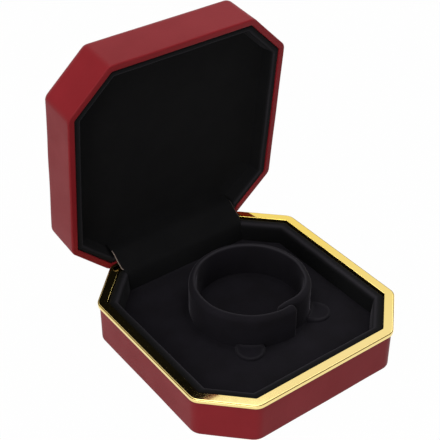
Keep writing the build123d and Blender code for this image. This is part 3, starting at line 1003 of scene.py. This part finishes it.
@dataclass
class Cuff:
    """Upright split ring in a velvet sleeve, with two half-moon tabs at its foot."""

    sizes: CuffSizes
    finishes: Finishes
    foot: float = field(init=False)
    top: float = field(init=False)
    strip: tuple[float, float] = field(init=False)  # heights of the stiff strip
    strip_inner: float = 22.5
    strip_outer: float = 23.9
    strip_short: tuple[float, float] = (9.5, 2.2)  # how far before the sleeve's ends it stops
    sunk: float = 1.6  # how far the sleeve goes into the pad
    shoulder: float = 2.5  # height over which the outer face rolls in to the crest
    crest_radius: float = 0.9
    painted_sheen_width: float = 0.5  # of the painted sheen line along the crest
    wave: float = 0.05
    wave_length: float = 9.0
    left_end: float = -79.6  # degrees
    left_corner: float = 2.6  # roundness of its upper corner
    flare: float = 0.7  # how far it stands out
    lift: float = 0.8  # how much higher its bunched velvet stands
    flare_length: float = 9.0
    right_end: float = -98.0  # where the right end stops behind the left
    right_corner: float = 1.2
    tuck: float = 3.05  # how far it is drawn in
    tuck_start: float = -40.0
    wedge: float = 8.5  # length over which it thins against the left end
    tab_wave: float = 0.04
    tab_wave_length: float = 5.0
    tab_sunk: float = 0.9  # how far a tab goes into the pad
    tab_rim: float = 0.86  # size of a tab's outline at its rim
    tab_sheen_width: float = 0.13  # of the painted sheen line, as a share of the size
    tab_painted_sheen: float = 0.4  # how strong the painted sheen is
    tab_painted_sheen_straight: float = 0.4  # how much of that is left along the straight side

    def __post_init__(self) -> None:
        """Read the sleeve's and the strip's heights from the frame."""
        low, high = measured("cuff_velvet")
        self.foot = low[2] - self.sunk
        self.top = high[2] - 0.1
        low, high = measured("cuff_core")
        self.strip = (low[2], high[2])

    def build(self) -> None:
        """Make the sleeve, the strip in it and the tabs."""
        self.make_sleeve()
        self.make_strip()
        self.make_tab("tab_half_moon_left", self.sizes.left_swing, "cuff_tab_left", 11)
        self.make_tab("tab_half_moon_right", self.sizes.right_swing, "cuff_tab_right", 12)

    def carry(
        self, section: np.ndarray, rounded: bool, short_by: tuple[float, float] = (0.0, 0.0)
    ) -> tuple[np.ndarray, np.ndarray]:
        """Carry a profile round the ring, from the right end to the left.

        The right end is drawn in by the tuck times 3 s^2 - 2 s^3, where s runs from 0 where the
        tuck starts to 1 at the end, and passes behind the left end, which flares out and rises
        with the square of the way along. Where the ends are soft, the height drops in a
        quarter circle at either, the left closes in a half circle, and the right thins from
        the inside in a quarter ellipse.

        Args:
            section: radius and height of each point of the profile.
            rounded: whether the ends are soft.
            short_by: how much before the right and the left end it stops.

        Returns:
            Points as places along and points of the profile, and how full the profile is at
            each place.
        """
        z = self.sizes
        middle = (z.outer + z.inner) / 2
        half = (z.outer - z.inner) / 2
        length = middle * radians(360 + self.left_end - self.right_end)
        ends = np.array([0, 0.04, 0.12, 0.25, 0.45, 0.7, 1.0, 1.4, 1.9, 2.5])
        body = np.linspace(ends[-1] + 0.7, length - ends[-1] - 0.7, 180)
        along = np.concatenate([ends, body, length - ends[::-1]])
        along = along[(along >= short_by[0]) & (along <= length - short_by[1])]
        angle = radians(self.right_end) + along / middle
        drop = 0.0
        for corner, near in ((self.right_corner, along), (self.left_corner, length - along)):
            short = np.clip(corner - near, 0, None) * rounded
            drop = drop + corner - np.sqrt(corner**2 - short**2)
        left = np.sqrt(1 - (np.clip(1 - (length - along) / half, 0, 1) * rounded) ** 2)
        right = np.sqrt(1 - (np.clip(1 - along / self.wedge, 0, 1) * rounded) ** 2)
        full = left * right
        s = np.clip((self.tuck_start - np.degrees(angle)) / (self.tuck_start - self.right_end), 0, 1)
        late = np.clip(1 - (length - along) / self.flare_length, 0, 1)
        path = middle + self.flare * late**2 - self.tuck * (3 * s**2 - 2 * s**3)
        path = path + half * (1 - right)
        radial = path[:, None] + full[:, None] * (section[:, 0] - middle)
        share = (section[:, 1] - self.foot) / (self.top - self.foot)
        level = section[:, 1] + (self.lift * late**2 - drop)[:, None] * share
        way = np.stack([np.cos(angle), np.sin(angle)], -1)[:, None]
        flat = np.array([z.x, z.y]) + radial[..., None] * way
        return np.concatenate([flat, level[..., None]], -1), full

    def make_sleeve(self) -> None:
        """Velvet sleeve over the strip.

        Its profile goes up the outer face, in over a quarter ellipse to the crest, over a small
        quarter circle and down the inner face. A painted sheen highlight runs along the inner edge,
        as a bell of the distance from it.
        """
        z = self.sizes
        r = self.crest_radius
        crest = z.inner + r
        turn = np.linspace(0, pi / 2, 13)[:, None]
        roll = np.hstack([
            crest + (z.outer - crest) * np.cos(turn),
            self.top - self.shoulder * (1 - np.sin(turn)),
        ])
        section = np.vstack([
            run((z.outer, self.foot), (z.outer, self.top - self.shoulder), 0.6)[:-1],
            roll,
            arc((crest, self.top - r), r, 90, 180, 7)[1:],
            run((z.inner, self.top - r - 0.5), (z.inner, self.foot), 0.7),
        ])
        points, full = self.carry(section, True)
        outward = points[..., :2] - np.array([z.x, z.y])
        outward /= np.linalg.norm(outward, axis=-1, keepdims=True)
        uneven = self.wave * ripple(points, self.wave_length, seed=21) * full[:, None]
        points[..., :2] += uneven[..., None] * outward
        # Painted sheen highlight along the inner edge of the crest
        from_edge = np.hypot(section[:, 0] - crest + 0.4 * r, section[:, 1] - self.top + 0.1 * r)
        mark = (PAINTED_SHEEN_AND_CUT_EDGE, bell(from_edge, self.painted_sheen_width))
        finish = self.finishes.painted_lighter_velvet
        piece = make_piece("cuff_sleeve_velvet", points, finish, (False, True), mark=mark)
        settle(piece, Body.BASE, Slot.VELVET, "cuff_velvet")

    def make_strip(self) -> None:
        """Stiff moulded strip, bent to the sleeve's path and hidden in it."""
        low, high = self.strip
        section = np.vstack([
            run((self.strip_outer, low), (self.strip_outer, high), 4.0),
            run((self.strip_inner, high), (self.strip_inner, low), 4.0),
        ])
        inside, _ = self.carry(section, False, self.strip_short)
        caps = [inside[:1].mean(1, keepdims=True), inside[-1:].mean(1, keepdims=True)]
        first, last = (np.broadcast_to(cap, inside[:1].shape) for cap in caps)
        points = np.concatenate([first, inside, last])
        piece = make_piece("cuff_strip_moulded", points, self.finishes.plastic, (False, True))
        settle(piece, Body.BASE, Slot.SHELL, "cuff_core")

    def make_tab(self, name: str, swing: float, node: str, seed: int) -> None:
        """Half-moon tab: a soft lozenge of velvet, its straight side against the cuff.

        The outline is a half circle with a straight run back to the cuff, shrunk to its middle
        row by row while the height climbs as a quarter ellipse to a rim and sinks behind it.
        A painted sheen highlight runs over the rim, weaker along the straight side.

        Args:
            name: of the object.
            swing: degrees from the split.
            node: the node it replaces.
            seed: picks its unevenness.
        """
        z = self.sizes
        low, high = measured(node)
        r = z.tab_width / 2
        end = z.outer + z.tab_reach - r
        face = z.outer + 0.1
        side = np.linspace(1, -1, 13) * np.arcsin((r - 0.35) / face)
        outline = np.vstack([
            arc((end, 0), r, -90, 90, 26),
            run((end, r), (face + 0.9, r), 0.7)[1:],
            np.stack([face * np.cos(side) + 0.05, face * np.sin(side)], -1),
            run((face + 0.9, -r), (end, -r), 0.7)[:-1],
        ])
        centre = np.array([(face + end + r) / 2, 0.0])
        thick = high[2] - low[2]
        share = np.linspace(0, 1, 9)
        round_edge = 1 - 0.13 * (1 - np.cos(share * pi / 2))
        shrink = np.concatenate([[1.0], round_edge, [0.82, 0.76, 0.66, 0.5, 0.25, 0.0]])
        dished = thick - np.array([0.08, 0.25, 0.42, 0.52, 0.56, 0.58])
        rise = np.concatenate([[-self.tab_sunk], thick * np.sin(share * pi / 2), dished])
        # Painted sheen highlight over the tab's rim
        opened = bell(shrink - self.tab_rim, self.tab_sheen_width) * (rise > 0.4 * thick)
        on_arc = np.hypot(*(outline - [end, 0]).T) < r + 0.01
        outer_side = np.where(on_arc, 1.0, self.tab_painted_sheen_straight)
        flat = centre + (outline - centre)[None] * shrink[:, None, None]
        turn = radians(z.split_degrees + swing)
        x = z.x + flat[..., 0] * cos(turn) - flat[..., 1] * sin(turn)
        y = z.y + flat[..., 0] * sin(turn) + flat[..., 1] * cos(turn)
        level = np.broadcast_to((low[2] + rise)[:, None], x.shape)
        points = np.stack([x, y, level], -1)
        top = points[1:-1]
        top[..., 2] += self.tab_wave * ripple(top[..., :2], self.tab_wave_length, seed)
        foot = points[:1].copy()
        foot[..., :2] = points[-1, 0, :2]
        points = np.concatenate([foot, points])
        opened = self.tab_painted_sheen * np.concatenate([[0.0], opened])[:, None] * outer_side
        mark = (PAINTED_SHEEN_AND_CUT_EDGE, opened)
        piece = make_piece(name, points, self.finishes.painted_lighter_velvet, (False, True), mark=mark)
        settle(piece, Body.BASE, Slot.VELVET, node)


@dataclass
class Lid:
    """The lid: leathercloth wrap, velvet lining and padded ceiling, drawn closed."""

    sizes: CaseSizes
    finishes: Finishes
    overhang: float = 0.25  # of the wall at the crown
    lip_overhang: float = 0.45  # of the lip, which the turned-in cloth thickens
    gap: float = 0.25
    height: float = 19.8
    shell_inset: float = 0.3
    wall: float = 1.4
    roof: float = 2.0
    board: float = 1.2
    crown_radius: float = 3.8
    corner_radius: float = 4.0
    least_radius: float = 0.4  # of any corner
    lip_radius: float = 0.6
    inner_radius: float = 0.4
    turn_in: float = 5.0
    top_wave: float = 0.04
    top_wave_length: float = 30.0
    lining_drop: float = 0.2
    lip_painted_sheen: float = 0.7  # how strong the painted sheen is along the lining's lip

    def build(self) -> None:
        """Make the three pieces."""
        self.make_wrap()
        self.make_interior()

    def lip(self) -> float:
        """Height of the lip when the lid is closed."""
        return self.sizes.rim_top + self.gap

    def make_wrap(self) -> None:
        """Leathercloth over the top and walls, turned in round the lip.

        The profile runs out over the rounded edge, down the wall, round the lip, up inside, and
        back within the cloth's thickness, and its two ends shrink to the middle of the top.
        """
        s = self.sizes
        lip = self.lip()
        top = lip + self.height
        out = -self.overhang
        edge = -self.lip_overhang
        skin = self.shell_inset
        back = skin + self.wall
        inner = back + s.leather
        r = self.crown_radius
        e = self.lip_radius
        e_in = self.inner_radius
        profile = np.vstack([
            arc((out + r, top - r), r, 90, 180, 12),
            run((out, top - r), (edge, lip + e), 0.9)[1:],
            arc((edge + e, lip + e), e, 180, 270, 5)[1:],
            run((edge + e, lip), (inner - e_in, lip), 0.5)[1:],
            arc((inner - e_in, lip + e_in), e_in, 270, 360, 4)[1:],
            [(inner, lip + self.turn_in)],
            [(back, lip + self.turn_in)],
            [(back, lip + s.leather)],
            [(skin, lip + s.leather)],
            run((skin, lip + 2.0), (skin, top - r), 6.0),
            arc((out + r, top - r), r - s.leather, 180, 90, 6)[1:],
        ])
        plan = s.plan(self.corner_radius + out)
        inset, height = profile.T
        radius = np.clip(self.corner_radius - (inset - out), self.least_radius, None)
        points = plan.surface(inset, height, radius)
        x, y, z = np.moveaxis(points, -1, 0)
        face = (inset < skin)[:, None] | (height > top - s.leather / 2)[:, None]
        uneven = s.wave * ripple(points, s.wave_length, seed=9) + lap(x, y) * (z < top - r)
        turned_in = (inset > back) & (height < top - r)
        inner_face = (np.abs(x) < s.notch) & (y > 0) & turned_in[:, None]
        inset_map = np.where(inner_face, back, inset[:, None] - uneven * face)
        points = plan.surface(inset_map, height, radius)
        shares = np.linspace(0, 1, 24)[:-1]
        outside = shrunk(points[0], shares)
        inside = shrunk(points[-1], shares[::-1])
        outside[..., 2] += self.top_wave * ripple(outside[..., :2], self.top_wave_length, seed=10)
        points = s.opened(np.concatenate([outside, points, inside]))
        piece = make_piece("lid_wrap", points, self.finishes.leather, (False, True))
        settle(piece, Body.LID, Slot.LEATHER, "lid_leather")

    def make_interior(self) -> None:
        """Velvet side panels and the padded ceiling, which meet in a soft hollow."""
        s = self.sizes
        lip = self.lip() + self.lining_drop
        roof = self.lip() + self.height - s.leather - self.roof
        soft = SoftInterior(
            outer=self.shell_inset + self.wall + s.leather + s.panel_gap,
            thickness=2.4,
            lip=lip,
            down=-1,
            depth=roof - lip,
            slope=tan(radians(12.0)),
            edge=0.9,
            pad_edge=6.0,
            pad_middle=8.0,
            pad_seat=roof - self.board - lip,
            pad_run=9.0,
            pad_power=2.6,
        )
        plan = s.plan()
        panels, opened = soft.panels(plan, seed=15)
        # Painted sheen highlight along the lining's lip
        mark = (PAINTED_SHEEN_AND_CUT_EDGE, self.lip_painted_sheen * opened)
        piece = make_piece("lid_lining_velvet", s.opened(panels), self.finishes.velvet, mark=mark)
        settle(piece, Body.LID, Slot.VELVET, "lid_lining")
        cushion = s.opened(soft.cushion(plan, seed=17))
        piece = make_piece("lid_pad_cushion", cushion, self.finishes.velvet, (False, True))
        settle(piece, Body.LID, Slot.VELVET, "lid_pad_velvet", "lid_pad_foam")


@dataclass
class HingeFlap:
    """Velvet flap that covers the hinge, from the base lining into the lid."""

    sizes: CaseSizes
    finishes: Finishes
    half_width: float = 30.7
    thickness: float = 0.7
    route: tuple[tuple[float, float], ...] = (
        (41.3, 8.2),
        (41.6, 12.5),
        (42.0, 16.3),
        (42.9, 19.0),
        (46.4, 20.3),
        (49.0, 22.3),
        (51.2, 24.3),
        (54.6, 24.6),
        (59.3, 24.9),
    )
    bare: tuple[float, float] = (44.3, 52.3)  # where the cut ends show their backing
    wave: float = 0.16
    wave_length: float = 23.0

    def build(self) -> None:
        """Make the flap.

        The route's corners are cut four times, each point giving way to two at a quarter and
        three quarters of each stretch. Points stand off it by half the thickness on either
        side, and the sheet ripples faintly across. Where it goes down the rear wall, it is
        trimmed to the tray's cut corners, which close in by tan 22.5 degrees of the inset.
        """
        path = np.array(self.route)
        for _ in range(4):
            quarter = 0.75 * path[:-1] + 0.25 * path[1:]
            late = 0.25 * path[:-1] + 0.75 * path[1:]
            cut = np.stack([quarter, late], 1).reshape(-1, 2)
            path = np.vstack([path[:1], cut, path[-1:]])
        step = np.gradient(path, axis=0)
        step /= np.linalg.norm(step, axis=1, keepdims=True)
        normal = np.stack([-step[:, 1], step[:, 0]], -1)
        half = self.thickness / 2
        around = np.vstack([path + half * normal, (path - half * normal)[::-1]])
        middle = np.vstack([path, path[::-1]])
        ends = np.array([0, 0.05, 0.15, 0.35, 0.7, 1.2])
        inner = np.linspace(1.9, 2 * self.half_width - 1.9, 60)
        x = np.concatenate([ends, inner, 2 * self.half_width - ends[::-1]]) - self.half_width
        near = np.clip((self.half_width - np.abs(x)) / half, 0, 1)
        close = np.sqrt(1 - (1 - near) ** 2)
        yz = middle[:, None] + (around - middle)[:, None] * close[None, :, None]
        s = self.sizes
        room = s.width / 2 - s.cut - (s.depth / 2 - path[:, 0]) * tan(pi / 8)
        half_width = np.minimum(self.half_width, room)
        trim = np.concatenate([half_width, half_width[::-1]])[:, None] / self.half_width
        points = np.stack([x * trim, yz[..., 0], yz[..., 1]], -1)
        arch = np.sin(pi * np.linspace(0, 1, len(path)))
        arch = np.concatenate([arch, arch[::-1]])[:, None]
        points[..., 2] += self.wave * arch * ripple(points[..., :1], self.wave_length, seed=31)
        bare = (middle[:, :1] > self.bare[0]) & (middle[:, :1] < self.bare[1])
        mark = (PAINTED_SHEEN_AND_CUT_EDGE, (1 - near) * bare)
        finish = self.finishes.cut_edged
        piece = make_piece("hinge_flap_velvet", points, finish, (True, False), mark=mark)
        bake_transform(piece)
        settle(piece, None, Slot.VELVET, "hinge_flap")


@dataclass
class CarriedOver:
    """Nodes of the frame whose shape is right, dressed in their real stock."""

    finishes: Finishes

    def build(self) -> None:
        """Give each node its material."""
        stock = {
            self.finishes.plastic: ("base_shell", "lid_shell"),
            self.finishes.flock: ("base_underside_card",),
            self.finishes.board: ("base_pad_board", "lid_pad_board"),
            self.finishes.steel: (
                "hinge_base_leaf",
                "hinge_pin",
                "hinge_spring",
                "hinge_base_rivets",
                "hinge_lid_leaf",
                "hinge_lid_rivets",
            ),
        }
        for material, nodes in stock.items():
            for node in nodes:
                for slot in frame["nodes"][node].material_slots:
                    slot.material = material
                LOG.info("%s: %s", node, material.name)


# Studio


@dataclass(frozen=True)
class Softbox:
    """Square soft light aimed at the case: place and side in millimetres, power in watts."""

    name: str
    place: tuple[float, float, float]
    side: float
    power: float

    def build(self) -> None:
        """Add the lamp."""
        lamp = bpy.data.lights.new(self.name, "AREA")
        lamp.size = self.side * MM
        lamp.energy = self.power
        holder = bpy.data.objects.new(self.name, lamp)
        holder.location = [value * MM for value in self.place]
        away = -(holder.location.normalized())
        holder.rotation_euler = away.to_track_quat("-Z", "Y").to_euler()
        bpy.context.scene.collection.objects.link(holder)


def seen_share(tree: bpy.types.NodeTree, share: float) -> bpy.types.Node:
    """Give a share to rays from the camera, from a mirror or through glass, and none to light.

    Args:
        tree: where the nodes go.
        share: for the rays that are seen.

    Returns:
        The node that gives the share.
    """
    rays = add_node(tree, "LightPath", {}).outputs
    seen: Any = 0.0
    for kind in ("Is Camera Ray", "Is Glossy Ray", "Is Transmission Ray"):
        seen = add_node(tree, "Math", {0: seen, 1: rays[kind]}, operation="ADD", use_clamp=True)
    return add_node(tree, "Math", {0: seen, 1: share}, operation="MULTIPLY")


@dataclass
class Studio:
    """White room, soft lights and the camera."""

    azimuth: float = -36.6
    elevation: float = 36.21
    distance: float = 424.45
    focal_pixels: float = 1058.43
    shift_right: float = -10.66
    shift_up: float = 30.51
    aim_height: float = 20.0
    sensor: float = 36.0
    ambient: float = 0.03
    floor_glow: float = 0.985  # share of the floor's white that is its own
    white: str = "FFFFFF"
    paper: str = "D0D0D0"
    reach: float = 3000.0
    softboxes: tuple[Softbox, ...] = (
        Softbox("softbox_overhead", (-300.0, -250.0, 1150.0), 900.0, 7.0),
        Softbox("softbox_left", (-950.0, -350.0, 500.0), 700.0, 2.8),
        Softbox("softbox_front_left", (-860.0, -735.0, 350.0), 700.0, 4.4),
        Softbox("softbox_rear_right", (280.0, 375.0, 1050.0), 700.0, 3.5),
        Softbox("softbox_right", (1050.0, 0.0, 500.0), 700.0, 2.6),
    )

    def build(self) -> None:
        """Make the floor, the world, the lights and the camera."""
        self.make_world()
        self.make_floor()
        for softbox in self.softboxes:
            softbox.build()
        self.make_camera()
        bpy.context.scene.view_settings.view_transform = "Standard"

    def make_world(self) -> None:
        """White to the eye and to mirrors, and a softer grey as light."""
        world = bpy.data.worlds.new("white_room")
        world.use_nodes = True
        tree = world.node_tree
        tree.nodes.clear()
        white = linear(self.white)
        light = add_node(tree, "Background", {"Color": white, "Strength": self.ambient})
        seen = add_node(tree, "Background", {"Color": white, "Strength": 1.0})
        mix = add_node(tree, "MixShader", {0: seen_share(tree, 1.0), 1: light, 2: seen})
        add_node(tree, "OutputWorld", {"Surface": mix})
        bpy.context.scene.world = world

    def make_floor(self) -> None:
        """Wide white floor that keeps a faint shadow."""
        material = blank_material("floor_white_paper")
        tree = material.node_tree
        paper = add_node(tree, "BsdfDiffuse", {"Color": linear(self.paper)})
        glow = add_node(tree, "Emission", {"Color": linear(self.white), "Strength": 1.0})
        mix = add_node(tree, "MixShader", {0: seen_share(tree, self.floor_glow), 1: paper, 2: glow})
        add_node(tree, "OutputMaterial", {"Surface": mix})
        side = np.array([-self.reach, self.reach]) * MM
        x, y = np.meshgrid(side, side)
        corners = np.stack([x, y, 0 * x], -1).reshape(-1, 3)
        mesh = bpy.data.meshes.new("floor")
        mesh.from_pydata(corners, [], [(0, 1, 3, 2)])
        mesh.materials.append(material)
        floor = bpy.data.objects.new("floor", mesh)
        bpy.context.scene.collection.objects.link(floor)

    def make_camera(self) -> None:
        """Camera at the angle, distance and framing of the photograph.

        With azimuth a and elevation e, the way back from the case to the camera is
        (sin a cos e, -cos a cos e, sin e), and the lens in millimetres is the focal length in
        pixels times the sensor's width over the image's.
        """
        a, e = radians(self.azimuth), radians(self.elevation)
        back = np.array([sin(a) * cos(e), -cos(a) * cos(e), sin(e)])
        right = np.array([cos(a), sin(a), 0.0])
        up = np.cross(back, right)
        aim = np.array([0, 0, self.aim_height]) + self.shift_right * right + self.shift_up * up
        lens = bpy.data.cameras.new("camera")
        lens.sensor_width = self.sensor
        lens.lens = self.focal_pixels * self.sensor / IMAGE_SIZE
        lens.clip_start = 0.01
        camera = bpy.data.objects.new("camera", lens)
        matrix = np.eye(4)
        matrix[:3, :3] = np.stack([right, up, back], 1)
        matrix[:3, 3] = (aim + back * self.distance) * MM
        camera.matrix_world = Matrix(matrix.tolist())
        bpy.context.scene.collection.objects.link(camera)
        bpy.context.scene.camera = camera


def main() -> None:
    """Build the studio and the case."""
    logging.basicConfig(level=logging.INFO, format="%(message)s")
    sizes = CaseSizes()
    finishes = Finishes()
    for part in (
        Studio(),
        CarriedOver(finishes),
        BaseTray(sizes, finishes),
        Cuff(CuffSizes(), finishes),
        Lid(sizes, finishes),
        HingeFlap(sizes, finishes),
    ):
        part.build()


if __name__ == "__main__":
    main()
